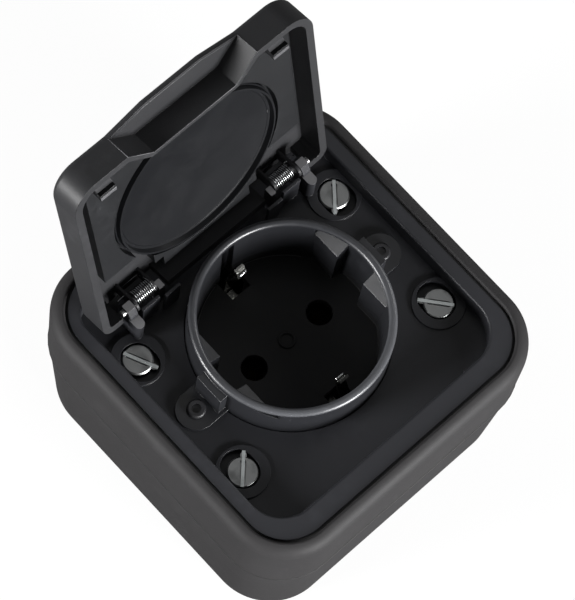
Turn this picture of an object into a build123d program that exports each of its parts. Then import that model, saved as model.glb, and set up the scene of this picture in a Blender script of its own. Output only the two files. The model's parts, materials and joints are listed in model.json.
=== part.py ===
import os
from math import cos, radians, sin

from build123d import *

# A surface-mounted, splash-proof earthed socket with a sprung lid.
# X runs along the hinge, Y points to the hinge side, Z comes out of the wall.
# The origin is the middle of the back face. All sizes are in millimetres.

# Housing: base box below the parting line, cover frame above it
housing_width = 79.6
housing_height = 80.6
housing_radius = 14.0
foot_draft_x = 1.4
foot_draft_y = 1.6
parting_z = 26.0
parting_step = 0.2
box_wall = 2.6
box_floor = 2.5
frame_top = 45.0
frame_cheek = 3.2
edge_round = 3.0
ledge_thickness = 2.0
frame_wall = 2.6
box_seal_width = 1.2
box_seal_depth = 1.0

# Wall fixing and cable entry
fixing_pitch = 58.0
fixing_slot_length = 8.0
fixing_slot_width = 4.5
entry_z = 13.0
entry_radius = 7.5
entry_pad = 0.8
grommet_wall = 1.5
grommet_lip = 1.6

# Front plate: a flat band around a sunk tray
band_top = 44.4
band_thickness = 2.4
frame_seal_width = 0.6
band_side = 3.8
band_end = 5.3
tray_radius = 8.5
tray_back_radius = 3.5
band_round = 0.6
tray_wall = 1.5
tray_floor = 39.4
plate_thickness = 2.0
catch_z = 41.0
catch_height = 1.2
catch_reach = 0.5
seat_clearance = 0.2

# Socket cup
cup_rim = 50.0
collar_radius = 22.1
recess_radius = 20.2
recess_foot_radius = 19.6
recess_depth = 16.3
cup_floor = 2.0
rim_round = 0.9
pin_pitch = 19.0
pin_hole_radius = 2.9
flat_distance = 16.8
flat_drop = 3.0
flat_lead_drop = 0.9
guide_notch = 8.0
guide_block_reach = 23.8
guide_block_width = 7.2
guide_block_drop = 2.0
boss_radius = 1.9
boss_height = 0.5
pocket_width = 5.2
pocket_inner = 14.4
pocket_outer = 19.5
wall_slot_width = 3.4
wall_slot_reach = 21.2
wall_slot_drop = 1.5
lug_inset = 6.1
lug_width = 9.0
lug_thickness = 0.9
lug_head_radius = 2.1
lug_head_height = 1.0
lug_screw_radius = 1.5
lug_screw_depth = 9.0

# Cover screws
screw_inset_x = 4.4
screw_inset_y = 15.4
screw_head_radius = 3.4
screw_head_thickness = 1.8
screw_head_top = 39.9
screw_radius = 1.7
screw_bite = 8.0
screw_slot_width = 1.3
screw_slot_depth = 0.9
pointer_reach = 4.4
pointer_drop = 0.2
well_radius = 3.7
well_shift = 1.6
well_rim = 2.2
well_rim_height = 0.5
pillar_radius = 3.6
pillar_top = 25.0

# Hinge: from the outside, pin end, ear, lid cheek, spring, lid cheek, post
hinge_inset = 7.7
hinge_z = 48.4
hinge_pin_radius = 0.8
hinge_clearance = 0.1
pin_end_inset = 5.3
pin_proud = 0.9
ear_thickness = 2.1
ear_gap = 0.2
ear_radius = 2.0
ear_top = 1.5
ear_top_half = 1.0
toe_length = 4.0
toe_width = 2.3
toe_y = 2.7
toe_drop = 1.6
cheek_thickness = 0.6
cheek_radius = 1.7
post_thickness = 1.4
post_half = 1.0
post_drop = 0.4
spring_wall_y = 2.0
spring_wall_thickness = 0.7
spring_wall_drop = 0.4
post_wall_length = 4.0
post_wall_y = 2.8
spring_wire_radius = 0.21
spring_radius = 1.7
spring_turns = 9.905
spring_length = 4.8
spring_gap = 0.25
spring_offset_y = 1.1
spring_offset_z = -0.8
spring_start_angle = 48.1
spigot_radius = 1.2
spring_arm_v = -0.9
spring_arm_length = 5.0
spring_leg = 2.9
spring_knot_radius = 0.25
leg_room = 0.1

# Lid, drawn in its own plane: u along the hinge, v to the free edge, w outwards
lid_angle = 102.7
lid_side_gap = 0.9
lid_back = 3.2
lid_front_gap = 2.9
lid_rim = -0.3
lid_top = 7.2
lid_skin = 1.6
lid_wall = 1.9
lid_front_radius = 6.5
lid_back_radius = 3.0
lid_round = 1.3
scoop_depth = 5.3
scoop_back_half = 11.0
scoop_front_half = 17.2
scoop_roof = 5.6
scoop_wall = 1.1
lip_half = 7.5
lip_reach = 2.0
liner_side = 4.7
liner_bottom = 0.5
liner_face = 2.4
liner_back = 1.0
liner_end = 2.6
liner_corner = 4.0
spring_notch_length = 11.3
spring_notch_top = 11.5
ear_relief_length = 13.6
ear_relief_top = 3.6
back_opening = 12.6
hook_inset = 4.0
hook_width = 4.0
hook_thickness = 1.6
hook_reach = 2.6
seal_radius = 21.9
seal_gap = 0.6
seal_bead_radius = 21.15
seal_bead = 0.45
seal_face = 3.0
seal_dish = 0.9
seal_flat_radius = 5.0
closing_gap = 0.3

# Contact block behind the cup
carrier_bottom = 13.5
carrier_inset = 2.7
carrier_height = 33.0
contact_pocket_x = 15.0
contact_pocket_width = 19.0
contact_pocket_height = 12.0
contact_pocket_floor = 2.5
sleeve_radius = 3.5
sleeve_bore_radius = 2.5
sleeve_slit = 1.0
sleeve_drop = 5.0
terminal_x = 18.5
terminal_width = 8.0
terminal_height = 9.0
terminal_top_drop = 3.0
wire_hole_radius = 1.6
terminal_screw_radius = 1.5
terminal_screw_head = 2.6
terminal_screw_length = 5.0
earth_strip_width = 2.4
earth_thickness = 0.6
earth_strip_drop = 6.0
earth_channel_width = 6.0
earth_arm_y = 18.4
earth_arm_bulge = 15.2
earth_arm_top = 45.0
arm_bend = 1.2

# Levels that follow from the sizes above
foot_width = housing_width - 2 * foot_draft_x
foot_height = housing_height - 2 * foot_draft_y
tray_width = housing_width - 2 * frame_cheek - 2 * band_side
tray_height = housing_height - 2 * frame_cheek - 2 * band_end
screw_x = tray_width / 2 - screw_inset_x
screw_y = tray_height / 2 - screw_inset_y
lug_x = tray_width / 2 - lug_inset
carrier_width = 2 * (lug_x - carrier_inset)
hinge_y = tray_height / 2 - hinge_inset
lid_width = tray_width - 2 * lid_side_gap
lid_front = hinge_y + tray_height / 2 - lid_front_gap
scoop_back = lid_front - scoop_depth
pin_outer_x = lid_width / 2 - pin_end_inset
outer_ear_end = pin_outer_x - pin_proud
outer_ear_start = outer_ear_end - ear_thickness
outer_cheek_start = outer_ear_start - ear_gap - cheek_thickness
spring_end = outer_cheek_start - ear_gap / 2 - spring_wire_radius
spring_start = spring_end - spring_length
inner_cheek_end = spring_start - spring_gap
inner_cheek_start = inner_cheek_end - cheek_thickness
post_end = inner_cheek_start - ear_gap
post_start = post_end - post_thickness
liner_half = lid_width / 2 - liner_side
liner_top = lid_front - liner_end
spring_notch_inner = outer_ear_end - spring_notch_length
ear_relief_inner = outer_ear_end - ear_relief_length
hook_u = liner_half - hook_inset
ledge_z = band_top - band_thickness
opening_width = housing_width - 2 * frame_cheek
opening_height = housing_height - 2 * frame_cheek
opening_radius = housing_radius - frame_cheek
plate_width = opening_width - 2 * frame_seal_width
plate_height = opening_height - 2 * frame_seal_width
plate_radius = opening_radius - frame_seal_width
box_width = housing_width - 2 * parting_step
box_height = housing_height - 2 * parting_step
box_radius = housing_radius - parting_step
plate_bottom = tray_floor - plate_thickness
cup_floor_z = cup_rim - recess_depth
cup_bottom = cup_floor_z - cup_floor
lug_top = tray_floor + lug_thickness
well_floor = screw_head_top - screw_head_thickness
lid_cavity_top = lid_top - lid_skin
lid_length = lid_front + lid_back
lid_middle = (lid_front - lid_back) / 2
cup_in_lid = hinge_y
pocket_floor_z = carrier_bottom + contact_pocket_floor
ear_root = tray_floor - plate_thickness / 2
entry_inner_y = foot_height / 2 - box_wall
entry_outer_y = box_height / 2
strip_z = cup_bottom - earth_strip_drop
contact_top = cup_bottom - sleeve_drop

wall_plane = Plane.XY
lid_plane = Plane(
    origin=(0, hinge_y, hinge_z),
    x_dir=(-1, 0, 0),
    z_dir=(0, sin(radians(lid_angle)), cos(radians(lid_angle))),
)
lid_outward = Axis(lid_plane.origin, lid_plane.z_dir)

os.makedirs("parts", exist_ok=True)


def finish(builder, name):
    builder.part.label = name
    export_step(builder.part, f"parts/{name}.step")


def tray_outline(level, margin):
    """Outline of the tray, with tighter corners on the hinge side, moved out by a margin."""
    with BuildSketch(wall_plane.offset(level)) as outline:
        Rectangle(tray_width + 2 * margin, tray_height + 2 * margin)
        fillet(outline.vertices().group_by(Axis.Y)[-1], tray_back_radius + margin)
        fillet(outline.vertices().group_by(Axis.Y)[0], tray_radius + margin)
    return outline.sketch


def screw_places():
    return GridLocations(2 * screw_x, 2 * screw_y, 2, 2)


def lid_point(u, v, w):
    return lid_plane.from_local_coords(Vector(-u, v, w))


# The base box is drafted: narrower at the wall than at the parting line
with BuildPart() as base_box:
    with BuildSketch(wall_plane):
        RectangleRounded(foot_width, foot_height, box_radius)
    with BuildSketch(wall_plane.offset(parting_z)):
        RectangleRounded(box_width, box_height, box_radius)
    loft()
    with BuildSketch(wall_plane.offset(box_floor)):
        RectangleRounded(foot_width - 2 * box_wall, foot_height - 2 * box_wall, box_radius - box_wall)
    with BuildSketch(wall_plane.offset(parting_z)):
        RectangleRounded(box_width - 2 * box_wall, box_height - 2 * box_wall, box_radius - box_wall)
    loft(mode=Mode.SUBTRACT)
    # pillars that take the cover screws
    with BuildSketch(wall_plane.offset(box_floor)):
        with screw_places():
            Circle(pillar_radius)
    extrude(amount=pillar_top - box_floor)
    with BuildSketch(wall_plane.offset(pillar_top)):
        with screw_places():
            Circle(screw_radius)
    extrude(amount=-(pillar_top - box_floor), mode=Mode.SUBTRACT)
    # groove for the box seal in the rim
    with BuildSketch(wall_plane.offset(parting_z)):
        seal_offset = 2 * (box_wall - box_seal_width) / 2
        RectangleRounded(box_width - seal_offset, box_height - seal_offset, box_radius - seal_offset / 2)
        seal_inner = seal_offset + 2 * box_seal_width
        RectangleRounded(
            box_width - seal_inner, box_height - seal_inner, box_radius - seal_inner / 2, mode=Mode.SUBTRACT
        )
    extrude(amount=-box_seal_depth, mode=Mode.SUBTRACT)
    # slots for the two wall screws
    with BuildSketch(wall_plane):
        with GridLocations(0, fixing_pitch, 1, 2):
            SlotOverall(fixing_slot_length, fixing_slot_width, rotation=90)
    extrude(amount=box_floor, mode=Mode.SUBTRACT)
    # flat pad round the cable entry on the hinge side, so that the grommet seats squarely
    with BuildSketch(Plane.XZ.offset(-entry_inner_y)):
        with Locations((0, entry_z)):
            Circle(entry_radius + grommet_lip + entry_pad)
    extrude(amount=entry_inner_y - entry_outer_y)
    with BuildSketch(Plane.XZ.offset(-entry_inner_y)):
        with Locations((0, entry_z)):
            Circle(entry_radius)
    extrude(amount=entry_inner_y - entry_outer_y, mode=Mode.SUBTRACT)
finish(base_box, "base_box")

with BuildPart() as box_seal:
    with BuildSketch(wall_plane.offset(parting_z - box_seal_depth)):
        RectangleRounded(box_width - seal_offset, box_height - seal_offset, box_radius - seal_offset / 2)
        RectangleRounded(
            box_width - seal_inner, box_height - seal_inner, box_radius - seal_inner / 2, mode=Mode.SUBTRACT
        )
    extrude(amount=box_seal_depth)
finish(box_seal, "box_seal")

# Stepped membrane in the cable entry: a waist in the wall between two lips
entry_axis = Axis((0, 0, entry_z), (0, 1, 0))
with BuildPart() as cable_grommet:
    with BuildSketch(Plane.YZ):
        with BuildLine():
            Polyline(
                (entry_inner_y - grommet_lip, entry_z),
                (entry_inner_y - grommet_lip, entry_z + entry_radius + grommet_lip),
                (entry_inner_y, entry_z + entry_radius + grommet_lip),
                (entry_inner_y, entry_z + entry_radius),
                (entry_outer_y, entry_z + entry_radius),
                (entry_outer_y, entry_z + entry_radius + grommet_lip),
                (entry_outer_y + grommet_lip, entry_z + entry_radius + grommet_lip / 2),
                (entry_outer_y + grommet_lip, entry_z + entry_radius - grommet_wall),
                (entry_outer_y, entry_z + entry_radius - grommet_wall),
                (entry_outer_y - grommet_wall, entry_z + entry_radius / 2),
                (entry_outer_y - grommet_wall, entry_z),
                close=True,
            )
        make_face()
    revolve(axis=entry_axis)
finish(cable_grommet, "cable_grommet")

ledge_opening = tray_outline(ledge_z, tray_wall + seat_clearance)
tray_shell = tray_outline(plate_bottom, tray_wall)
tray_space = tray_outline(tray_floor, 0)

# The cover frame has a soft outer edge and an inner ledge that the front plate rests on
with BuildPart() as cover_frame:
    with BuildSketch(wall_plane.offset(parting_z)):
        RectangleRounded(housing_width, housing_height, housing_radius)
    extrude(amount=frame_top - parting_z)
    fillet(cover_frame.faces().sort_by(Axis.Z)[-1].edges(), edge_round)
    with BuildSketch(wall_plane.offset(parting_z)):
        RectangleRounded(
            housing_width - 2 * frame_wall, housing_height - 2 * frame_wall, housing_radius - frame_wall
        )
    extrude(amount=ledge_z - ledge_thickness - parting_z, mode=Mode.SUBTRACT)
    with BuildSketch(wall_plane.offset(frame_top)):
        RectangleRounded(opening_width, opening_height, opening_radius)
    extrude(amount=-(frame_top - ledge_z), mode=Mode.SUBTRACT)
    extrude(ledge_opening, amount=-ledge_thickness, mode=Mode.SUBTRACT)
    mouth = cover_frame.faces().sort_by(Axis.Z)[-1].inner_wires()[0]
    fillet(mouth.edges(), band_round)
finish(cover_frame, "cover_frame")

with BuildPart() as frame_seal:
    with BuildSketch(wall_plane.offset(ledge_z)):
        RectangleRounded(opening_width, opening_height, opening_radius)
        RectangleRounded(plate_width, plate_height, plate_radius, mode=Mode.SUBTRACT)
    extrude(amount=band_thickness - frame_seal_width)
finish(frame_seal, "frame_seal")


with BuildPart() as front_plate:
    with BuildSketch(wall_plane.offset(ledge_z)):
        RectangleRounded(plate_width, plate_height, plate_radius)
    extrude(amount=band_thickness)
    extrude(tray_shell, amount=ledge_z - plate_bottom)
    extrude(tray_space, amount=band_top - tray_floor, mode=Mode.SUBTRACT)
    fillet(front_plate.faces().sort_by(Axis.Z)[-1].inner_wires()[0].edges(), band_round)
    # raised rims round the screw wells, cut off by the tray wall
    with BuildSketch(wall_plane.offset(tray_floor)):
        with screw_places():
            Circle(well_radius + well_rim)
        Rectangle(tray_width + tray_wall, tray_height, mode=Mode.INTERSECT)
    extrude(amount=well_rim_height)
    # tubes that carry the screws down to the pillars of the box
    with BuildSketch(wall_plane.offset(pillar_top)):
        with screw_places():
            Circle(pillar_radius)
    extrude(amount=plate_bottom - pillar_top)
    # wells are longer than the heads, towards the middle
    for end in (-1, 1):
        with BuildSketch(wall_plane.offset(well_floor)):
            with Locations(
                (-screw_x, end * (screw_y - well_shift / 2)), (screw_x, end * (screw_y - well_shift / 2))
            ):
                SlotCenterToCenter(well_shift, well_radius * 2, rotation=90)
        extrude(amount=band_top - well_floor, mode=Mode.SUBTRACT)
    with BuildSketch(wall_plane.offset(pillar_top)):
        with screw_places():
            Circle(screw_radius + seat_clearance)
    extrude(amount=well_floor - pillar_top, mode=Mode.SUBTRACT)
    # hinge ears with their toes, the post inside each spring and the low walls in front
    for side in (-1, 1):
        for start, end, half, top, top_half in (
            (post_start, post_end, post_half, -post_drop, post_half),
            (outer_ear_start, outer_ear_end, ear_radius, ear_top, ear_top_half),
        ):
            with BuildSketch(Plane.YZ.offset(side * start)):
                with BuildLine():
                    Polyline(
                        (hinge_y - half, ear_root),
                        (hinge_y - half, hinge_z - post_drop - 0.1),
                        (hinge_y - top_half, hinge_z + top),
                        (hinge_y + top_half, hinge_z + top),
                        (hinge_y + half, hinge_z - post_drop - 0.1),
                        (hinge_y + half, ear_root),
                        close=True,
                    )
                make_face()
            extrude(amount=side * (end - start))
        with BuildSketch(wall_plane.offset(tray_floor)):
            with Locations((side * (outer_ear_start + outer_ear_end) / 2, hinge_y - toe_y)):
                SlotOverall(toe_length, toe_width, rotation=90)
        extrude(amount=hinge_z - toe_drop - tray_floor)
        with BuildSketch(wall_plane.offset(tray_floor)):
            with Locations((side * (spring_start + spring_end) / 2, hinge_y - spring_wall_y)):
                Rectangle(spring_length, spring_wall_thickness)
            with Locations((side * (post_end - post_wall_length / 2), hinge_y - post_wall_y)):
                Rectangle(post_wall_length, spring_wall_thickness)
        extrude(amount=hinge_z - spring_wall_drop - tray_floor)
        with BuildSketch(Plane.YZ.offset(side * outer_ear_start)):
            with Locations((hinge_y, hinge_z)):
                Circle(hinge_pin_radius + hinge_clearance)
        extrude(amount=side * ear_thickness, mode=Mode.SUBTRACT)
    # catches for the lid hooks on the front wall of the tray
    with BuildSketch(wall_plane.offset(catch_z)):
        with Locations((-hook_u, -tray_height / 2), (hook_u, -tray_height / 2)):
            Rectangle(hook_width, 2 * catch_reach)
    extrude(amount=catch_height)
    # opening for the cup and its guide blocks
    with BuildSketch(wall_plane.offset(plate_bottom)):
        Circle(collar_radius + seat_clearance)
        Rectangle(2 * (guide_block_reach + seat_clearance), guide_block_width + 2 * seat_clearance)
    extrude(amount=well_rim_height + plate_thickness, mode=Mode.SUBTRACT)
    with BuildSketch(wall_plane.offset(plate_bottom)):
        with Locations((-lug_x, 0), (lug_x, 0)):
            Circle(lug_screw_radius + seat_clearance)
    extrude(amount=plate_thickness, mode=Mode.SUBTRACT)
finish(front_plate, "front_plate")

with BuildPart() as socket_cup:
    with BuildSketch(Plane.XZ):
        with BuildLine():
            Polyline(
                (0, cup_bottom),
                (collar_radius, cup_bottom),
                (collar_radius, cup_rim),
                (recess_radius, cup_rim),
                (recess_foot_radius, cup_floor_z),
                (0, cup_floor_z),
                close=True,
            )
        make_face()
    revolve(axis=Axis.Z)
    fillet(socket_cup.edges().group_by(Axis.Z)[-1], rim_round)
    # flats at the sides of the recess, each parted by a guide notch
    with BuildSketch(wall_plane.offset(cup_floor_z)):
        Circle((collar_radius + recess_radius) / 2)
        Rectangle(2 * flat_distance, 2 * collar_radius, mode=Mode.SUBTRACT)
        Rectangle(2 * collar_radius, guide_notch, mode=Mode.SUBTRACT)
    extrude(amount=recess_depth - flat_lead_drop)
    # the tops of the flats fall from the collar to their edge
    for side in (-1, 1):
        with BuildSketch(Plane.XZ.offset(-collar_radius)):
            with BuildLine():
                Polyline(
                    (side * flat_distance, cup_rim - flat_drop),
                    (side * (recess_radius - rim_round / 4), cup_rim - flat_lead_drop),
                    (side * flat_distance, cup_rim - flat_lead_drop),
                    close=True,
                )
            make_face()
        extrude(amount=2 * collar_radius, mode=Mode.SUBTRACT)
    # guide blocks and screw lugs outside the collar
    with BuildSketch(wall_plane.offset(plate_bottom)):
        Rectangle(2 * guide_block_reach, guide_block_width)
        Circle((collar_radius + recess_radius) / 2, mode=Mode.SUBTRACT)
    extrude(amount=cup_rim - guide_block_drop - plate_bottom)
    with BuildSketch(wall_plane.offset(tray_floor)):
        SlotCenterToCenter(2 * lug_x, lug_width)
        Circle((collar_radius + recess_radius) / 2, mode=Mode.SUBTRACT)
    extrude(amount=lug_thickness)
    with BuildSketch(wall_plane.offset(tray_floor)):
        with Locations((-lug_x, 0), (lug_x, 0)):
            Circle(lug_screw_radius + seat_clearance)
    extrude(amount=lug_thickness, mode=Mode.SUBTRACT)
    # raised ring in the middle of the floor
    with BuildSketch(wall_plane.offset(cup_floor_z)):
        Circle(boss_radius)
        Circle(boss_radius - boss_height, mode=Mode.SUBTRACT)
    extrude(amount=boss_height)
    # pin holes and the two openings for the earth arms
    with BuildSketch(wall_plane.offset(cup_bottom)):
        with GridLocations(pin_pitch, 0, 2, 1):
            Circle(pin_hole_radius)
        with GridLocations(0, pocket_inner + pocket_outer, 1, 2):
            Rectangle(pocket_width, pocket_outer - pocket_inner)
    extrude(amount=cup_floor, mode=Mode.SUBTRACT)
    with BuildSketch(wall_plane.offset(cup_bottom)):
        Rectangle(wall_slot_width, 2 * wall_slot_reach)
        Rectangle(wall_slot_width, 2 * pocket_inner, mode=Mode.SUBTRACT)
    extrude(amount=cup_rim - wall_slot_drop - cup_bottom, mode=Mode.SUBTRACT)
finish(socket_cup, "socket_cup")

# Slotted cover screws, each with a pointer at one end of its slot
screw_turns = {"back_left": -65, "front_left": 45, "back_right": -131, "front_right": 130}
for place, turn in screw_turns.items():
    centre_x = screw_x if "right" in place else -screw_x
    centre_y = screw_y if "back" in place else -screw_y
    screw_top = Plane(origin=(centre_x, centre_y, screw_head_top)).rotated((0, 0, turn))
    with BuildPart() as cover_screw:
        with BuildSketch(screw_top.offset(well_floor - screw_head_top)):
            Circle(screw_head_radius)
        extrude(amount=screw_head_thickness)
        chamfer(cover_screw.edges().group_by(Axis.Z)[-1], screw_slot_depth / 3)
        with BuildSketch(screw_top.offset(-pointer_drop)):
            with Locations((pointer_reach / 2, 0)):
                SlotOverall(pointer_reach, screw_slot_width)
        extrude(amount=-screw_slot_depth)
        with BuildSketch(screw_top):
            SlotOverall(2 * screw_head_radius - screw_slot_width, screw_slot_width)
        extrude(amount=-screw_slot_depth, mode=Mode.SUBTRACT)
        with BuildSketch(screw_top.offset(well_floor - screw_head_top)):
            Circle(screw_radius)
        extrude(amount=pillar_top - screw_bite - well_floor)
    finish(cover_screw, f"cover_screw_{place}")

# Domed screws that hold the cup to the contact block
for side, name in ((-1, "cup_screw_left"), (1, "cup_screw_right")):
    with BuildPart() as cup_screw:
        with BuildSketch(wall_plane.offset(lug_top)):
            with Locations((side * lug_x, 0)):
                Circle(lug_head_radius)
        extrude(amount=lug_head_height)
        fillet(cup_screw.edges().group_by(Axis.Z)[-1], lug_head_height / 2)
        with BuildSketch(wall_plane.offset(lug_top - lug_screw_depth)):
            with Locations((side * lug_x, 0)):
                Circle(lug_screw_radius)
        extrude(amount=lug_screw_depth)
        with BuildSketch(wall_plane.offset(lug_top + lug_head_height)):
            with Locations((side * lug_x, 0)):
                Circle(lug_head_radius / 2)
        extrude(amount=-lug_head_height / 2, mode=Mode.SUBTRACT)
    finish(cup_screw, name)

# Contact block: pockets for the contacts and a channel for the earth strip
with BuildPart() as contact_block:
    with BuildSketch(wall_plane.offset(carrier_bottom)):
        RectangleRounded(carrier_width, carrier_height, tray_wall)
    extrude(amount=cup_bottom - carrier_bottom)
    with BuildSketch(wall_plane.offset(carrier_bottom)):
        with Locations((-lug_x, 0), (lug_x, 0)):
            Circle(pillar_radius)
    extrude(amount=plate_bottom - carrier_bottom)
    with BuildSketch(wall_plane.offset(carrier_bottom)):
        with Locations((-lug_x, 0), (lug_x, 0)):
            Circle(lug_screw_radius)
    extrude(amount=plate_bottom - carrier_bottom, mode=Mode.SUBTRACT)
    with BuildSketch(wall_plane.offset(pocket_floor_z)):
        with Locations((-contact_pocket_x, 0), (contact_pocket_x, 0)):
            Rectangle(contact_pocket_width, contact_pocket_height)
    extrude(amount=cup_bottom - pocket_floor_z, mode=Mode.SUBTRACT)
    with BuildSketch(wall_plane.offset(cup_bottom)):
        Rectangle(earth_channel_width, carrier_height)
    extrude(amount=strip_z - 2 * earth_thickness - cup_bottom, mode=Mode.SUBTRACT)
finish(contact_block, "contact_block")

for side, name in ((-1, "left_contact"), (1, "right_contact")):
    with BuildPart() as contact:
        with BuildSketch(wall_plane.offset(pocket_floor_z)):
            with Locations((side * pin_pitch / 2, 0)):
                Circle(sleeve_radius)
            with Locations((side * terminal_x, 0)):
                Rectangle(terminal_width, terminal_height)
            with Locations((side * (pin_pitch / 2 + terminal_x) / 2, 0)):
                Rectangle(terminal_x - pin_pitch / 2, sleeve_bore_radius)
        extrude(amount=contact_top - pocket_floor_z)
        with BuildSketch(wall_plane.offset(contact_top)):
            with Locations((side * pin_pitch / 2, 0)):
                Circle(sleeve_bore_radius)
            with Locations((side * (pin_pitch / 2 - sleeve_radius), 0)):
                Rectangle(2 * sleeve_radius, sleeve_slit)
        extrude(amount=-(contact_top - pocket_floor_z - contact_pocket_floor), mode=Mode.SUBTRACT)
        with BuildSketch(wall_plane.offset(contact_top)):
            with Locations((side * terminal_x, 0)):
                Rectangle(terminal_width, terminal_height)
        extrude(amount=-terminal_top_drop, mode=Mode.SUBTRACT)
        with BuildSketch(wall_plane.offset(contact_top - terminal_top_drop)):
            with Locations((side * terminal_x, 0)):
                Circle(terminal_screw_radius)
        extrude(amount=-terminal_screw_length, mode=Mode.SUBTRACT)
        with BuildSketch(Plane.XZ.offset(-terminal_height)):
            with Locations((side * terminal_x, pocket_floor_z + 2 * wire_hole_radius)):
                Circle(wire_hole_radius)
        extrude(amount=2 * terminal_height, mode=Mode.SUBTRACT)
    finish(contact, name)

    with BuildPart() as terminal_screw:
        with BuildSketch(wall_plane.offset(contact_top - terminal_top_drop)):
            with Locations((side * terminal_x, 0)):
                Circle(terminal_screw_head)
        extrude(amount=terminal_screw_radius)
        with BuildSketch(wall_plane.offset(contact_top - terminal_top_drop)):
            with Locations((side * terminal_x, 0)):
                Circle(terminal_screw_radius)
        extrude(amount=-terminal_screw_length)
        with BuildSketch(wall_plane.offset(contact_top - terminal_top_drop + terminal_screw_radius)):
            with Locations((side * terminal_x, 0)):
                Rectangle(2 * terminal_screw_head, screw_slot_width)
        extrude(amount=-screw_slot_depth, mode=Mode.SUBTRACT)
    finish(terminal_screw, name.replace("contact", "terminal_screw"))

# Earth strip across the block, with an arm up each side of the cup
with BuildPart() as earth_strip:
    with BuildSketch(Plane.YZ.offset(-earth_strip_width / 2)):
        with BuildLine():
            FilletPolyline(
                (-earth_arm_bulge - arm_bend, earth_arm_top),
                (-earth_arm_bulge, earth_arm_top - 2 * arm_bend),
                (-earth_arm_y, cup_floor_z + cup_floor),
                (-earth_arm_y, strip_z),
                (earth_arm_y, strip_z),
                (earth_arm_y, cup_floor_z + cup_floor),
                (earth_arm_bulge, earth_arm_top - 2 * arm_bend),
                (earth_arm_bulge + arm_bend, earth_arm_top),
                radius=arm_bend / 2,
            )
        trace(line_width=earth_thickness)
    extrude(amount=earth_strip_width)
finish(earth_strip, "earth_strip")

# Hinge pins, pressed into the cheeks of the lid and free in the ears of the plate
for side, name in ((-1, "hinge_pin_left"), (1, "hinge_pin_right")):
    with BuildPart() as hinge_pin:
        with BuildSketch(Plane.YZ.offset(side * outer_cheek_start)):
            with Locations((hinge_y, hinge_z)):
                Circle(hinge_pin_radius)
        extrude(amount=side * (pin_outer_x - outer_cheek_start))
        chamfer(hinge_pin.edges().sort_by(Axis.X)[-1 if side > 0 else 0], hinge_clearance)
    finish(hinge_pin, name)

# Torsion springs: a close coil on a spigot of the lid, an arm along the lid's skin
# and a short leg that reaches out past the ear
spring_y = hinge_y + spring_offset_y
spring_z = hinge_z + spring_offset_z
for side, name in ((-1, "hinge_spring_left"), (1, "hinge_spring_right")):
    with BuildPart() as hinge_spring:
        coil_plane = Plane(
            origin=(side * spring_start, spring_y, spring_z),
            x_dir=(0, cos(radians(spring_start_angle)), sin(radians(spring_start_angle))),
            z_dir=(side, 0, 0),
        )
        coil = coil_plane * Helix(
            pitch=spring_length / spring_turns,
            height=spring_length,
            radius=spring_radius,
            lefthand=side < 0,
            mode=Mode.PRIVATE,
        )
        with BuildSketch(Plane(origin=coil @ 0, z_dir=coil % 0)):
            Circle(spring_wire_radius)
        sweep(path=coil, is_frenet=True)
        arm_w = lid_cavity_top - spring_knot_radius
        bend = lid_point(side * spring_start, spring_arm_v, arm_w)
        tip = lid_point(side * (spring_start + spring_arm_length), spring_arm_v, arm_w)
        with Locations(coil @ 0, bend, coil @ 1):
            Sphere(spring_knot_radius)
        for start, end in ((coil @ 0, bend), (bend, tip)):
            with BuildSketch(Plane(origin=start, z_dir=end - start)):
                Circle(spring_wire_radius)
            extrude(amount=(end - start).length)
        with BuildSketch(Plane(origin=coil @ 1, z_dir=(side, 0, 0))):
            Circle(spring_wire_radius)
        extrude(amount=spring_leg)
    leg_end = coil @ 1
    finish(hinge_spring, name)


def lid_outline(margin):
    """Outline of the lid in its own plane, moved in by a margin."""
    with Locations((0, lid_middle)):
        Rectangle(lid_width - 2 * margin, lid_length - 2 * margin)


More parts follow.
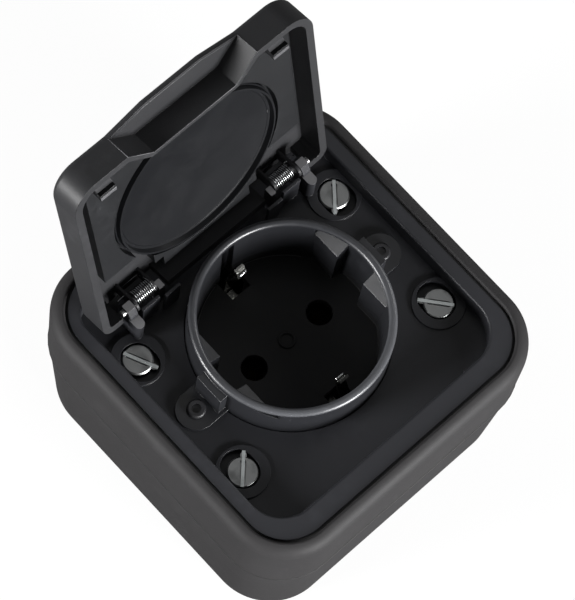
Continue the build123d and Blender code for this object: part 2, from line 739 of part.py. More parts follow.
spring_v = spring_offset_y * lid_plane.y_dir.Y + spring_offset_z * lid_plane.y_dir.Z
spring_w = spring_offset_y * lid_plane.z_dir.Y + spring_offset_z * lid_plane.z_dir.Z
with BuildPart() as lid_shell:
    with BuildSketch(lid_plane.offset(lid_rim)) as outline:
        lid_outline(0)
        fillet(outline.vertices().group_by(Axis.Y)[-1], lid_front_radius)
        fillet(outline.vertices().group_by(Axis.Y)[0], lid_back_radius)
    extrude(amount=lid_top - lid_rim)
    # the lip over the finger scoop stands out from the front edge
    with BuildSketch(lid_plane.offset(scoop_roof)):
        with BuildLine():
            Polyline(
                (-scoop_front_half, lid_front - lid_wall),
                (-scoop_front_half, lid_front),
                (-lip_half, lid_front + lip_reach),
                (lip_half, lid_front + lip_reach),
                (scoop_front_half, lid_front),
                (scoop_front_half, lid_front - lid_wall),
                close=True,
            )
        make_face()
    extrude(amount=lid_top - scoop_roof)
    fillet(lid_shell.faces().sort_by(lid_outward)[-1].edges(), lid_round)
    # hollow
    with BuildSketch(lid_plane.offset(lid_rim)) as hollow:
        lid_outline(lid_wall)
        fillet(hollow.vertices().group_by(Axis.Y)[-1], lid_front_radius - lid_wall)
        fillet(hollow.vertices().group_by(Axis.Y)[0], lid_back_radius - lid_wall)
    extrude(amount=lid_cavity_top - lid_rim, mode=Mode.SUBTRACT)
    # finger scoop: walls first, then the space itself
    with BuildSketch(lid_plane.offset(lid_rim)):
        with BuildLine():
            Polyline(
                (-scoop_back_half - scoop_wall / 2, scoop_back - scoop_wall),
                (scoop_back_half + scoop_wall / 2, scoop_back - scoop_wall),
                (scoop_front_half + scoop_wall, lid_front - lid_wall / 2),
                (-scoop_front_half - scoop_wall, lid_front - lid_wall / 2),
                close=True,
            )
        make_face()
    extrude(amount=lid_cavity_top - lid_rim)
    scoop_splay = (scoop_front_half - scoop_back_half) / (lid_front - scoop_back)
    scoop_end = lid_front + 2 * lip_reach
    scoop_end_half = scoop_front_half + scoop_splay * 2 * lip_reach
    with BuildSketch(lid_plane.offset(lid_rim)):
        with BuildLine():
            Polyline(
                (-scoop_back_half, scoop_back),
                (scoop_back_half, scoop_back),
                (scoop_end_half, scoop_end),
                (-scoop_end_half, scoop_end),
                close=True,
            )
        make_face()
    extrude(amount=scoop_roof - lid_rim, mode=Mode.SUBTRACT)
    # the back skirt is open where the ears of the plate stand
    with BuildSketch(lid_plane.offset(lid_rim)):
        for side in (-1, 1):
            with Locations((side * (pin_outer_x - back_opening / 2), -lid_back)):
                Rectangle(back_opening, 2 * lid_back + lid_wall)
    extrude(amount=lid_cavity_top - lid_rim, mode=Mode.SUBTRACT)
    # cheeks that carry the pin and the spigot of each spring
    for side in (-1, 1):
        for start, middle_v, middle_w in (
            (inner_cheek_start, spring_v, spring_w),
            (outer_cheek_start, 0, 0),
        ):
            with BuildSketch(Plane.YZ.offset(side * start)):
                with Locations((lid_point(0, middle_v, middle_w).Y, lid_point(0, middle_v, middle_w).Z)):
                    Circle(cheek_radius)
            extrude(amount=side * cheek_thickness)
            with BuildSketch(lid_plane.offset(middle_w)):
                with Locations((-side * (start + cheek_thickness / 2), middle_v)):
                    Rectangle(cheek_thickness, 2 * cheek_radius)
            extrude(amount=lid_cavity_top - middle_w)
        with BuildSketch(Plane.YZ.offset(side * inner_cheek_start)):
            with Locations((spring_y, spring_z)):
                Circle(spigot_radius)
        extrude(amount=side * (outer_cheek_start - inner_cheek_start))
        with BuildSketch(Plane.YZ.offset(side * outer_cheek_start)):
            with Locations((hinge_y, hinge_z)):
                Circle(hinge_pin_radius)
            with Locations((leg_end.Y, leg_end.Z)):
                Circle(spring_wire_radius + leg_room)
        extrude(amount=side * cheek_thickness, mode=Mode.SUBTRACT)
finish(lid_shell, "lid_shell")

with BuildPart() as lid_liner:
    with BuildSketch(lid_plane.offset(liner_face)) as liner_shape:
        with Locations((0, (liner_bottom + liner_top) / 2)):
            Rectangle(2 * liner_half, liner_top - liner_bottom)
        chamfer(liner_shape.vertices().group_by(Axis.Y)[-1], liner_corner)
        with BuildLine():
            scoop_side = scoop_wall + seat_clearance
            Polyline(
                (-scoop_back_half - scoop_side, scoop_back - scoop_side),
                (scoop_back_half + scoop_side, scoop_back - scoop_side),
                (scoop_front_half + 2 * scoop_side, lid_front),
                (-scoop_front_half - 2 * scoop_side, lid_front),
                close=True,
            )
        make_face(mode=Mode.SUBTRACT)
        for side in (-1, 1):
            for notch_inner, notch_top in (
                (spring_notch_inner, spring_notch_top),
                (ear_relief_inner, ear_relief_top),
            ):
                with Locations((side * (notch_inner + liner_half) / 2, 0)):
                    Rectangle(liner_half - notch_inner, 2 * notch_top, mode=Mode.SUBTRACT)
    extrude(amount=lid_cavity_top - liner_face)
    # shallow pocket for the soft disc
    with BuildSketch(lid_plane.offset(liner_face)):
        with Locations((0, cup_in_lid)):
            Circle(seal_radius + seal_gap)
    extrude(amount=lid_cavity_top - liner_back - liner_face, mode=Mode.SUBTRACT)
    # snap hooks near the free edge
    with BuildSketch(lid_plane.offset(liner_face)):
        with Locations((-hook_u, liner_top - liner_corner), (hook_u, liner_top - liner_corner)):
            Rectangle(hook_width, hook_thickness)
    extrude(amount=-hook_reach)
finish(lid_liner, "lid_liner")

# Soft disc that closes the cup, with a bead over the collar
seal_axis = Axis(lid_point(0, cup_in_lid, 0), lid_plane.z_dir)
with BuildPart() as lid_seal:
    seal_plane = Plane(
        origin=lid_point(0, cup_in_lid, 0), x_dir=(1, 0, 0), z_dir=lid_plane.y_dir
    )
    bead_tip = cup_rim - hinge_z + closing_gap
    with BuildSketch(seal_plane):
        with BuildLine():
            Polyline(
                (seal_flat_radius, seal_face + seal_dish),
                (0, seal_face + seal_dish),
                (0, lid_cavity_top - liner_back),
                (seal_radius, lid_cavity_top - liner_back),
                (seal_radius, seal_face),
                (seal_bead_radius + seal_bead, seal_face),
                (seal_bead_radius + seal_bead / 2, bead_tip),
                (seal_bead_radius - seal_bead / 2, bead_tip),
                (seal_bead_radius - seal_bead, seal_face),
            )
            ThreePointArc(
                (seal_bead_radius - seal_bead, seal_face),
                ((seal_bead_radius + seal_flat_radius) / 2, seal_face + 2 * seal_dish / 3),
                (seal_flat_radius, seal_face + seal_dish),
            )
        make_face()
    revolve(axis=seal_axis)
finish(lid_seal, "lid_seal")
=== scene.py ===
import json
import math

import bpy
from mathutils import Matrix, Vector

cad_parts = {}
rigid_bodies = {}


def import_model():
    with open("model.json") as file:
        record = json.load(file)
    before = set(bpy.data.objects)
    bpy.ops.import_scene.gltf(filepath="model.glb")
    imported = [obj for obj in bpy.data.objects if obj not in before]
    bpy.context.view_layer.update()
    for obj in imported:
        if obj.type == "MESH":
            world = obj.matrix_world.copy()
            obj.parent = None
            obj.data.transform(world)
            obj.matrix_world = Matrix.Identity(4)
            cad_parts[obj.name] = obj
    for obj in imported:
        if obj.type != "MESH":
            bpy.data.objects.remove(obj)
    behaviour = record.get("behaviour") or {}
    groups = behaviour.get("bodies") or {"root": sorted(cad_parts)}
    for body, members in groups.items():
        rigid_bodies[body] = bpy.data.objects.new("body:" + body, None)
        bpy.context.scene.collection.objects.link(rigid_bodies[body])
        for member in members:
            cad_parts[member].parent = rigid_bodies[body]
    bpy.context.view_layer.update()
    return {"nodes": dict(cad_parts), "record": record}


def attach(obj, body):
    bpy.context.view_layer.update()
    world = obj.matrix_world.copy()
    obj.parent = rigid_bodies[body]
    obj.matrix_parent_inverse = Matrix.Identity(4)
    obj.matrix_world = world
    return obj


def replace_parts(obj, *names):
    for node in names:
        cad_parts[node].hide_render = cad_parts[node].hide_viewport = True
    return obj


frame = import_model()
print("frame loaded", len(frame["nodes"]), "nodes")


# a shader socket that can be used in plain expressions
class Wire:
    def __init__(self, graph, socket):
        self.graph, self.socket = graph, socket

    def math(self, operation, first, second):
        return self.graph.add("ShaderNodeMath", {"operation": operation}, {0: first, 1: second})

    def __add__(self, other):
        return self.math("ADD", self, other)

    def __radd__(self, other):
        return self.math("ADD", other, self)

    def __sub__(self, other):
        return self.math("SUBTRACT", self, other)

    def __rsub__(self, other):
        return self.math("SUBTRACT", other, self)

    def __mul__(self, other):
        return self.math("MULTIPLY", self, other)

    def __rmul__(self, other):
        return self.math("MULTIPLY", other, self)

    def above(self, low, high):  # 0 below low, 1 above high
        return self.graph.add("ShaderNodeMapRange", {"interpolation_type": "SMOOTHSTEP"},
                              {"Value": self, "From Min": low, "From Max": high})


class Graph:
    def __init__(self, tree):
        self.tree = tree

    def join(self, value, socket):
        if isinstance(value, Wire):
            self.tree.links.new(value.socket, socket)
        elif value is not None:
            socket.default_value = value

    def add(self, kind, settings, inputs, output=0):
        node = self.tree.nodes.new(kind)
        for key, value in settings.items():
            setattr(node, key, value)
        for key, value in inputs.items():
            self.join(value, node.inputs[key])
        return Wire(self, node.outputs[output])

    def seenBy(self, *rays):
        found = self.add("ShaderNodeLightPath", {}, {}, rays[0])
        for ray in rays[1:]:
            found = found.math("MAXIMUM", found, self.add("ShaderNodeLightPath", {}, {}, ray))
        return found


class Paint(Graph):
    def __init__(self, name):
        self.material = bpy.data.materials.new(name)
        self.material.use_nodes = True
        super().__init__(self.material.node_tree)
        self.shader = self.tree.nodes["Principled BSDF"]
        self.place = self.add("ShaderNodeTexCoord", {}, {}, "Object")

    def along(self, axis):
        return self.add("ShaderNodeSeparateXYZ", {}, {0: self.place}, axis)

    def below(self, axis, high, low):  # 0 above high, 1 below low
        return 1.0 - self.along(axis).above(low, high)

    def noise(self, scale, detail, rough=0.55, stretch=None):
        where = self.place
        if stretch:
            where = self.add("ShaderNodeVectorMath", {"operation": "MULTIPLY"}, {0: where, 1: stretch})
        return self.add("ShaderNodeTexNoise", {},
                        {"Vector": where, "Scale": scale, "Detail": detail, "Roughness": rough}, "Fac")

    def mix(self, factor, first, second):
        node = self.tree.nodes.new("ShaderNodeMix")
        node.data_type = "RGBA"
        for index, value in ((0, factor), (6, first), (7, second)):
            self.join(value, node.inputs[index])
        return Wire(self, node.outputs[2])

    def bump(self, height, depth, strength, under=None):
        return self.add("ShaderNodeBump", {},
                        {"Height": height, "Distance": depth, "Strength": strength, "Normal": under})

    def softEdge(self, radius):
        return self.add("ShaderNodeBevel", {"samples": 6}, {"Radius": radius})

    def set(self, **sockets):
        for key, value in sockets.items():
            self.join(value, self.shader.inputs[key.replace("_", " ")])
        return self.material


def colour(red, green, blue):
    return (red, green, blue, 1.0)


# moulded plastics: spark-eroded grain, faint clouding, rubbed places; the cup also gets a painted highlight on its
# rim and painted shade in its recess, and one lighter plastic stands for highlights
plastics = {
    "case": {"dark": colour(0.0225, 0.0218, 0.0225), "light": colour(0.04, 0.039, 0.04),
             "rough": 0.6, "gloss": 0.15, "grain": 2600, "depth": 0.00003, "scuff": 0.35},
    "plate": {"dark": colour(0.018, 0.0185, 0.0215), "light": colour(0.034, 0.035, 0.041),
              "rough": 0.45, "gloss": 0.35, "grain": 3400, "depth": 0.00001, "scuff": 0.35},
    "cup": {"dark": colour(0.0125, 0.013, 0.015), "light": colour(0.03, 0.031, 0.035),
            "rough": 0.34, "gloss": 0.45, "grain": 3000, "depth": 0.00001, "scuff": 0.4,
            "rim_wear_and_highlight": (0.0491, 0.0496), "front_fade": (0.006, -0.014), "recess_bottom_shade": (0.0372, 0.0355)},
    "block": {"dark": colour(0.01, 0.01, 0.01), "light": colour(0.02, 0.02, 0.02),
              "rough": 0.5, "gloss": 0.4, "grain": 2600, "depth": 0.00002, "scuff": 0.2},
    "lid": {"dark": colour(0.021, 0.0212, 0.0227), "light": colour(0.043, 0.0435, 0.047),
            "rough": 0.42, "gloss": 0.22, "grain": 2800, "depth": 0.000015, "scuff": 0.5},
    # a lighter plastic for painted highlights on edges and hook noses, where it partly also stands for rubbing
    "rubbed_and_highlight": {"dark": colour(0.06, 0.06, 0.064), "light": colour(0.09, 0.09, 0.095),
               "rough": 0.4, "gloss": 0.4, "grain": 3200, "depth": 0.00001, "scuff": 0.6},
    "lid_inner": {"dark": colour(0.0078, 0.0082, 0.0092), "light": colour(0.0205, 0.0213, 0.024),
                  "rough": 0.38, "gloss": 0.4, "grain": 3200, "depth": 0.00001, "scuff": 0.6},
}
# random wear, and the colours of the cup's painted rim highlight and painted recess shade
wear_and_painted_light = {"cloud": 55, "fine": 420, "scratch": 260, "stretch": (1.0, 0.06, 0.4), "line": (0.62, 0.74),
        "patch": (0.45, 0.75), "speck": (0.42, 0.68), "edge": 0.00022, "ripple": 0.00001,
        "bright": colour(0.064, 0.066, 0.072), "less": 0.72,
        "recess_shade_colour": colour(0.002, 0.002, 0.0025), "recess_shade_amount": 0.7, "dull": 0.3}


def mouldedPlastic(name, look):
    paint = Paint(name)
    cloud = paint.noise(wear_and_painted_light["cloud"], 4)
    fine = paint.noise(wear_and_painted_light["fine"], 5, 0.65)
    scratch = paint.noise(wear_and_painted_light["scratch"], 3, 0.6, wear_and_painted_light["stretch"]).above(*wear_and_painted_light["line"])
    rubbed_and_highlight = cloud.above(*wear_and_painted_light["patch"]) * fine.above(*wear_and_painted_light["speck"])
    tone = rubbed_and_highlight * look["scuff"] + scratch * (0.35 * look["scuff"])
    shade = paint.mix(tone, look["dark"], look["light"])
    if "rim_wear_and_highlight" in look:  # painted highlight on the upper edge, brightest at the front where the light comes from; partly also wear from plugs
        height = paint.along(2).above(*look["rim_wear_and_highlight"])
        back = paint.along(1).above(*look["front_fade"][::-1])
        rim_wear_and_highlight = height * (1.0 - wear_and_painted_light["less"] * back)
        shade = paint.mix(rim_wear_and_highlight * (0.7 + 0.3 * fine), shade, wear_and_painted_light["bright"])
    rough = look["rough"] + 0.12 * (cloud - 0.5) + 0.08 * (fine - 0.5) - 0.06 * scratch
    if "recess_bottom_shade" in look:  # painted shade at the bottom of the recess, which is also made rougher
        recess_bottom_shade = paint.below(2, *look["recess_bottom_shade"])
        shade = paint.mix(recess_bottom_shade * wear_and_painted_light["recess_shade_amount"], shade, wear_and_painted_light["recess_shade_colour"])
        rough = rough + wear_and_painted_light["dull"] * recess_bottom_shade
    grain = paint.noise(look["grain"], 2, 0.5)
    ripple = paint.bump(fine, wear_and_painted_light["ripple"], 0.5, paint.softEdge(wear_and_painted_light["edge"]))
    return paint.set(Base_Color=shade, Roughness=rough, Specular_IOR_Level=look["gloss"],
                     Normal=paint.bump(grain, look["depth"], 1.0, ripple))


rubbers = {
    "seal_rubber": {"shade": colour(0.008, 0.008, 0.008), "rough": 0.7, "bloom": 0.22, "gloss": 0.45},
    "grommet_rubber": {"shade": colour(0.012, 0.012, 0.012), "rough": 0.65, "bloom": 0.22, "gloss": 0.45},
    "disc_rubber": {"shade": colour(0.0045, 0.0048, 0.0058), "rough": 0.42, "bloom": 0.1, "gloss": 0.24},
}
dust = {"shade": colour(0.03, 0.031, 0.033), "cloud": 90, "from": (0.4, 0.8), "grain": 1500, "depth": 0.00001}


def softRubber(name, look):
    paint = Paint(name)
    bloom = paint.noise(dust["cloud"], 5, 0.6)
    grain = paint.noise(dust["grain"], 3, 0.6)
    return paint.set(Base_Color=paint.mix(bloom.above(*dust["from"]) * look["bloom"], look["shade"], dust["shade"]),
                     Roughness=look["rough"] + 0.15 * (bloom - 0.5), Specular_IOR_Level=look["gloss"],
                     Normal=paint.bump(grain, dust["depth"], 0.6))


metals = {
    "zinc": {"shade": colour(0.3, 0.306, 0.306), "rough": 0.36, "grain": (1.0, 0.12, 1.0), "metal": 1.0,
             "slot_shade": (0.03882, 0.03862)},
    "brass": {"shade": colour(0.14, 0.118, 0.08), "rough": 0.45, "grain": (1.0, 1.0, 0.2), "metal": 1.0,
              "hole_shade": (0.023, 0.025)},
    "earth": {"shade": colour(0.34, 0.34, 0.32), "rough": 0.25, "grain": (1.0, 0.3, 0.2), "metal": 1.0},
    "pin_steel": {"shade": colour(0.4, 0.4, 0.4), "rough": 0.3, "grain": (0.15, 1.0, 1.0), "metal": 1.0},
    "spring_steel": {"shade": colour(0.55, 0.56, 0.57), "rough": 0.22, "grain": (0.3, 1.0, 1.0), "metal": 1.0},
    "bright_bar": {"shade": colour(0.72, 0.76, 0.76), "rough": 0.42, "grain": (1.0, 1.0, 1.0), "metal": 1.0},
    "dull_steel": {"shade": colour(0.3, 0.3, 0.31), "rough": 0.5, "grain": (1.0, 0.3, 1.0), "metal": 1.0},
    "lug_screw": {"shade": colour(0.016, 0.016, 0.018), "rough": 0.4, "grain": (1.0, 1.0, 1.0), "metal": 0.0},
}
# ageing of the metals, and the painted shade inside the pin holes and on the floors of the driver slots
age_and_painted_shade = {"streak": 1400, "stain": 240, "patch": (0.5, 0.78), "tarnish": 0.55, "depth": 0.00002,
       "hole_shade_colour": colour(0.01, 0.01, 0.01), "hole_shade_amount": 0.93, "slot_shade_colour": colour(0.012, 0.012, 0.012), "slot_shade_amount": 0.9}


def drawnMetal(name, look):
    paint = Paint(name)
    streak = paint.noise(age_and_painted_shade["streak"], 4, 0.6, look["grain"])
    tarnish = paint.noise(age_and_painted_shade["stain"], 4, 0.6).above(*age_and_painted_shade["patch"])
    half = colour(*[0.5 * part for part in look["shade"][:3]])
    shade = paint.mix(tarnish * age_and_painted_shade["tarnish"], look["shade"], half)
    if "hole_shade" in look:  # painted shade: the sleeves turn black higher up, where they are seen through the pin holes
        shade = paint.mix(paint.along(2).above(*look["hole_shade"]) * age_and_painted_shade["hole_shade_amount"], shade, age_and_painted_shade["hole_shade_colour"])
    if "slot_shade" in look:  # painted shade on the floors of the driver slots
        shade = paint.mix(paint.below(2, *look["slot_shade"]) * age_and_painted_shade["slot_shade_amount"], shade, age_and_painted_shade["slot_shade_colour"])
    return paint.set(Base_Color=shade, Metallic=look["metal"],
                     Roughness=look["rough"] + 0.18 * tarnish + 0.14 * (streak - 0.5),
                     Normal=paint.bump(streak, age_and_painted_shade["depth"], 0.5))


finishes = {}
for looks, make in ((plastics, mouldedPlastic), (rubbers, softRubber), (metals, drawnMetal)):
    for name, look in looks.items():
        finishes[name] = make(name, look)
print("finishes made", len(finishes))

for part in frame["record"]["subparts"]:
    solid = bpy.data.objects[part["node"]]
    solid.data.materials.clear()
    solid.data.materials.append(finishes[part["material_slot"]])
print("solids dressed")

# pieces in finishes that no node of the record has
sides = ((-1, "Left"), (1, "Right"))


def meshPiece(name, vertices, faces, finish, body, smooth=False):
    mesh = bpy.data.meshes.new(name)
    mesh.from_pydata(vertices, [], faces)
    mesh.polygons.foreach_set("use_smooth", [smooth] * len(faces))
    mesh.materials.append(finishes[finish])
    piece = bpy.data.objects.new(name, mesh)
    bpy.context.scene.collection.objects.link(piece)
    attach(piece, body)
    return piece


def wirePiece(name, path, radius, finish, body, around=10):
    vertices, faces, across = [], [], None
    last = len(path) - 1
    for index, point in enumerate(path):
        ahead = path[min(index + 1, last)] - path[max(index - 1, 0)]
        ahead.normalize()
        across = across or ahead.orthogonal()
        across = across - ahead * ahead.dot(across)
        across.normalize()
        aside = ahead.cross(across)
        for turn in range(around):
            angle = 2 * math.pi * turn / around
            vertices.append(point + radius * (math.cos(angle) * across + math.sin(angle) * aside))
    for index in range(last):
        for turn in range(around):
            after = (turn + 1) % around
            faces.append((index * around + turn, index * around + after,
                          (index + 1) * around + after, (index + 1) * around + turn))
    faces.append(tuple(range(around))[::-1])
    faces.append(tuple(last * around + turn for turn in range(around)))
    return meshPiece(name, vertices, faces, finish, body, True)


def prismPiece(name, outline, low, high, finish, body):
    count = len(outline)
    vertices = [(x, y, level) for level in (low, high) for x, y in outline]
    faces = [tuple(range(count))[::-1], tuple(range(count, 2 * count))]
    faces += [(one, (one + 1) % count, count + (one + 1) % count, count + one) for one in range(count)]
    return meshPiece(name, vertices, faces, finish, body)


def roundedOblong(x, y, halfX, halfY, radius, steps=6):
    outline = []
    for signX, signY, start in ((1, 1, 0), (-1, 1, 90), (-1, -1, 180), (1, -1, 270)):
        for step in range(steps + 1):
            angle = math.radians(start + 90 * step / steps)
            outline.append((x + signX * (halfX - radius) + radius * math.cos(angle),
                            y + signY * (halfY - radius) + radius * math.sin(angle)))
    return outline


# the hinge axis, and the lean of the open lid from where it closes
swing = frame["record"]["behaviour"]["joints"][0]
hinge = {"y": swing["pos_m"][1], "z": swing["pos_m"][2], "lean": math.radians(-swing["range_deg"][0])}


def lidPoint(x, along, out):  # along the lid from its hinge, and out of its inner face
    up = Vector((0, -math.cos(hinge["lean"]), math.sin(hinge["lean"])))
    back = Vector((0, math.sin(hinge["lean"]), math.cos(hinge["lean"])))
    return Vector((x, hinge["y"], hinge["z"])) + along * up + out * back


# the torsion springs again, in thinner wire so that every turn shows
spring = {"start": 0.01749, "length": 0.0048, "turns": 9.905, "radius": 0.00172, "wire": 0.00014, "steps": 220,
          "y": 0.0252, "z": 0.0476, "angle": 48.1, "armV": -0.0009, "armW": 0.00535, "arm": 0.005, "leg": 0.0029}


def coilSpring(side, name, node):
    coil = []
    for step in range(spring["steps"] + 1):
        turned = math.radians(spring["angle"]) + 2 * math.pi * spring["turns"] * step / spring["steps"]
        coil.append(Vector((side * (spring["start"] + spring["length"] * step / spring["steps"]),
                            spring["y"] + spring["radius"] * math.cos(turned),
                            spring["z"] + spring["radius"] * math.sin(turned))))
    bend = lidPoint(side * spring["start"], spring["armV"], spring["armW"])
    tip = lidPoint(side * (spring["start"] + spring["arm"]), spring["armV"], spring["armW"])
    arm = [tip, tip.lerp(bend, 0.92), bend.lerp(coil[0], 0.08), coil[0].lerp(bend, 0.4)]
    end, drift = coil[-1], coil[-1] - coil[-2]
    out = Vector((side * spring["wire"], 0, 0))
    leg = [end + 0.6 * drift + out, end + out * 5 + 0.8 * drift,
           end + Vector((side * spring["leg"], 0, 0)) + 0.8 * drift]
    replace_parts(wirePiece(name, arm + coil + leg, spring["wire"], "spring_steel", "lid"), node)


coilSpring(-1, "coilLeft", "hinge_spring_left")
coilSpring(1, "coilRight", "hinge_spring_right")

# painted highlights on the hinge: thin plates of light metal on the tongue, outer ear and inner post
glint_plates = {
    "tongue": {"x": 0.02465, "y": 0.0214, "half": (0.00115, 0.002), "round": 0.0011,
               "low": 0.04675, "high": 0.04695},
    "ear": {"x": 0.02465, "y": 0.0241, "half": (0.00105, 0.00098), "round": 0.0002,
            "low": 0.04985, "high": 0.05002},
    "post": {"x": 0.01594, "y": 0.0241, "half": (0.0007, 0.00098), "round": 0.0002,
             "low": 0.04795, "high": 0.04812},
}
for side, end in sides:
    for name, plate in glint_plates.items():
        outline = roundedOblong(side * plate["x"], plate["y"], *plate["half"], plate["round"])
        prismPiece(name + end, outline, plate["low"], plate["high"], "dull_steel", "housing")

# raised lines round the edge of the soft disc, which closes over the cup
beads = {"sealLineOuter": {"radius": 0.0217, "wire": 0.00014, "out": 0.00305},
         "sealLineInner": {"radius": 0.0201, "wire": 0.00013, "out": 0.0031}}
turns = [math.radians(angle) for angle in range(0, 361, 4)]
for name, bead in beads.items():
    path = [lidPoint(bead["radius"] * math.cos(turn), hinge["y"] + bead["radius"] * math.sin(turn), bead["out"])
            for turn in turns]
    wirePiece(name, path, bead["wire"], "disc_rubber", "lid", 8)

# sloped noses of the lid's two hooks, in a lighter plastic: a painted highlight, partly also rubbing
nose = {"x": 0.0232, "half": 0.00205, "low": 0.04555, "high": 0.0484, "end": 0.0464, "foot": 0.00245,
        "tip": -0.00028}


def hookNose(side, name):
    profile = ((nose["low"], nose["foot"]), (nose["high"], nose["foot"]), (nose["end"], nose["tip"]),
               (nose["low"], nose["tip"]))
    vertices = [lidPoint(side * nose["x"] + way * nose["half"], along, out)
                for way in (-1, 1) for along, out in profile]
    faces = [(0, 1, 2, 3), (7, 6, 5, 4), (0, 4, 5, 1), (1, 5, 6, 2), (2, 6, 7, 3), (3, 7, 4, 0)]
    meshPiece(name, vertices, faces, "rubbed_and_highlight", "lid")


for side, end in sides:
    hookNose(side, "nose" + end)

# painted highlights: thin lines of lighter plastic along the arrises of the finger scoop, which the mould left
# sharp
scoop = {"back": 0.0477, "front": 0.053, "backHalf": 0.011, "frontHalf": 0.0172, "rim": -0.0003,
         "roof": 0.0056, "lipHalf": 0.0075, "lip": 0.0543, "lipEnd": 0.0162, "lipFoot": 0.0524, "wire": 0.0001}


def lidLine(name, corners):
    wirePiece(name, [lidPoint(*corner) for corner in corners], scoop["wire"], "rubbed_and_highlight", "lid", 6)


def acrossLid(half):  # runs on over the middle of the lid to the other side
    return half + [(-x, along, out) for x, along, out in half[::-1]]


lidLine("mouthLine", acrossLid([(scoop["frontHalf"], scoop["front"], scoop["rim"]),
                                (scoop["backHalf"], scoop["back"], scoop["rim"])]))
lidLine("lipLine", acrossLid([(scoop["lipEnd"], scoop["lipFoot"], scoop["roof"]),
                              (scoop["lipHalf"], scoop["lip"], scoop["roof"])]))
for side, end in sides:
    lidLine("scoopEdge" + end, [(side * scoop["frontHalf"], scoop["front"], level)
                                for level in (scoop["rim"], scoop["roof"])])

# light along the edge of the recess floor
floorEdge = {"radius": 0.01935, "z": 0.03376, "angles": range(38, 82, 2), "wire": 0.00009}
for side, end in sides:
    path = [Vector((side * floorEdge["radius"] * math.cos(math.radians(angle)),
                    floorEdge["radius"] * math.sin(math.radians(angle)), floorEdge["z"]))
            for angle in floorEdge["angles"]]
    wirePiece("floorArc" + end, path, floorEdge["wire"], "rubbed_and_highlight", "housing", 6)

# dirt in the joint between box and cover frame
seam = {"halfX": 0.03981, "halfY": 0.04031, "radius": 0.014, "z": 0.0262, "wire": 0.00015}
ring = [Vector((x, y, seam["z"])) for x, y in roundedOblong(0, 0, seam["halfX"], seam["halfY"], seam["radius"], 10)]
wirePiece("jointLine", ring + ring[:1], seam["wire"], "seal_rubber", "housing", 6)

# the slot of each cover screw holds a bar that ends in the pointer
heads = {"barBackLeft": (-0.0284, 0.0164, -65), "barFrontLeft": (-0.0284, -0.0164, 45),
         "barBackRight": (0.0284, 0.0164, -131), "barFrontRight": (0.0284, -0.0164, 130)}
bar = {"from": -0.0033, "to": 0.0046, "half": 0.00036, "low": 0.03905, "high": 0.04002}
for name, (x, y, turn) in heads.items():
    along = Vector((math.cos(math.radians(turn)), math.sin(math.radians(turn))))
    across = Vector((-along.y, along.x))
    corners = [tuple(Vector((x, y)) + reach * along + way * bar["half"] * across)
               for reach, way in ((bar["from"], -1), (bar["to"], -1), (bar["to"], 1), (bar["from"], 1))]
    prismPiece(name, corners, bar["low"], bar["high"], "bright_bar", "housing")

# painted glints: beads of bright steel on the noses of the two earth arms
armNose = {"half": 0.00105, "y": 0.01515, "z": 0.04385, "wire": 0.0003}
for side, end in ((-1, "Front"), (1, "Back")):
    path = [Vector((armNose["half"] * part, side * armNose["y"], armNose["z"])) for part in (-1, -0.5, 0, 0.5, 1)]
    wirePiece("armNose" + end, path, armNose["wire"], "spring_steel", "housing")
print("pieces added")

# floor and sky: white to the camera, dimmer in what the object mirrors
stage = {"floor": 3.0, "drop": 0.0002, "shade": colour(0.8, 0.8, 0.8), "rough": 0.9, "white": 1.0, "kept": 0.93,
         "mirrored": 0.17, "horizon": 0.35, "zenith": 0.08, "dome": 0.75}


def whiteFloor():
    mesh = bpy.data.meshes.new("floor")
    half = stage["floor"] / 2
    mesh.from_pydata([(-half, -half, 0), (half, -half, 0), (half, half, 0), (-half, half, 0)], [], [(0, 1, 2, 3)])
    floor = bpy.data.objects.new("floor", mesh)
    floor.location.z = -stage["drop"]
    bpy.context.scene.collection.objects.link(floor)
    paint = Paint("floor_white")
    mirror = paint.seenBy("Is Glossy Ray")
    strength = stage["white"] + (stage["mirrored"] - stage["white"]) * mirror
    glow = paint.add("ShaderNodeEmission", {}, {"Color": colour(1, 1, 1), "Strength": strength})
    paint.set(Base_Color=stage["shade"], Roughness=stage["rough"])
    blend = paint.add("ShaderNodeMixShader", {}, {0: paint.seenBy("Is Camera Ray") * stage["kept"] + mirror,
                                                  1: Wire(paint, paint.shader.outputs[0]), 2: glow})
    paint.join(blend, paint.tree.nodes["Material Output"].inputs["Surface"])
    mesh.materials.append(paint.material)


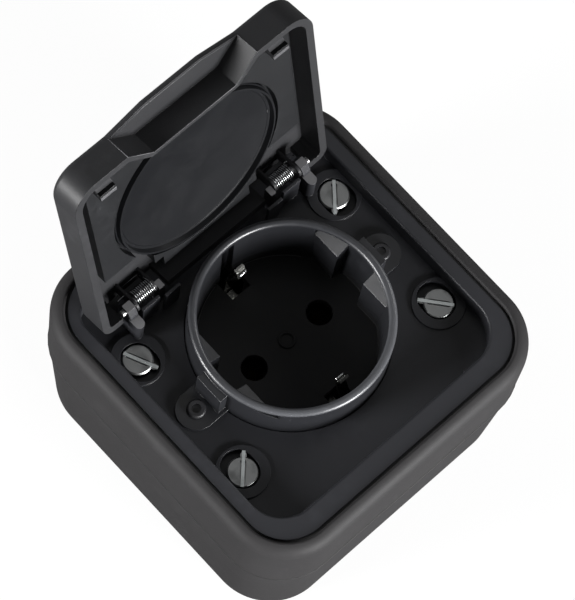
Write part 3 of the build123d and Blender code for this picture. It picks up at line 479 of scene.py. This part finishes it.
def studioSky():
    world = bpy.data.worlds.new("sky")
    bpy.context.scene.world = world
    world.use_nodes = True
    sky = Graph(world.node_tree)
    up = sky.add("ShaderNodeSeparateXYZ", {}, {0: sky.add("ShaderNodeTexCoord", {}, {}, "Generated")}, 2)
    level = stage["horizon"] + (stage["zenith"] - stage["horizon"]) * up.above(0.0, stage["dome"])
    plain = sky.seenBy("Is Camera Ray", "Is Transmission Ray")
    back = sky.tree.nodes["Background"]
    sky.join(level + plain * (1.0 - level), back.inputs["Strength"])
    sky.join(colour(1, 1, 1), back.inputs["Color"])


lamps = {
    "front": {"at": (0.05, -0.9, 0.22), "size": 0.4, "power": 25.5},
    "left": {"at": (-0.82, 0.32, 0.32), "size": 0.36, "power": 16.0},
    "right": {"at": (0.9, -0.1, 0.45), "size": 0.4, "power": 2.6},
    "back": {"at": (0.1, 0.8, 0.7), "size": 0.35, "power": 0.2},
    "top": {"at": (0.26, 0.18, 0.95), "size": 0.5, "power": 0.35},
}
aim = Vector((0, 0, 0.03))  # the middle of the housing


def softLamps():
    for name, lamp in lamps.items():
        light = bpy.data.lights.new(name, "AREA")
        light.shape, light.size, light.energy = "DISK", lamp["size"], lamp["power"]
        holder = bpy.data.objects.new(name, light)
        holder.location = lamp["at"]
        holder.rotation_euler = (aim - Vector(lamp["at"])).to_track_quat("-Z", "Y").to_euler()
        bpy.context.scene.collection.objects.link(holder)


view = {"at": (-0.19915, -0.13257, 0.71921), "turn": (19.3543, -4.71208, -42.71914), "focal": 203.9,
        "sensor": 36.0, "near": 0.01, "far": 20.0}


def photoCamera():
    lens = bpy.data.cameras.new("camera")
    lens.lens, lens.sensor_width = view["focal"], view["sensor"]
    lens.clip_start, lens.clip_end = view["near"], view["far"]
    camera = bpy.data.objects.new("camera", lens)
    camera.location = view["at"]
    camera.rotation_euler = [math.radians(angle) for angle in view["turn"]]
    bpy.context.scene.collection.objects.link(camera)
    bpy.context.scene.camera = camera


whiteFloor()
studioSky()
softLamps()
photoCamera()
bpy.context.scene.view_settings.view_transform = "Standard"
print("stage set")
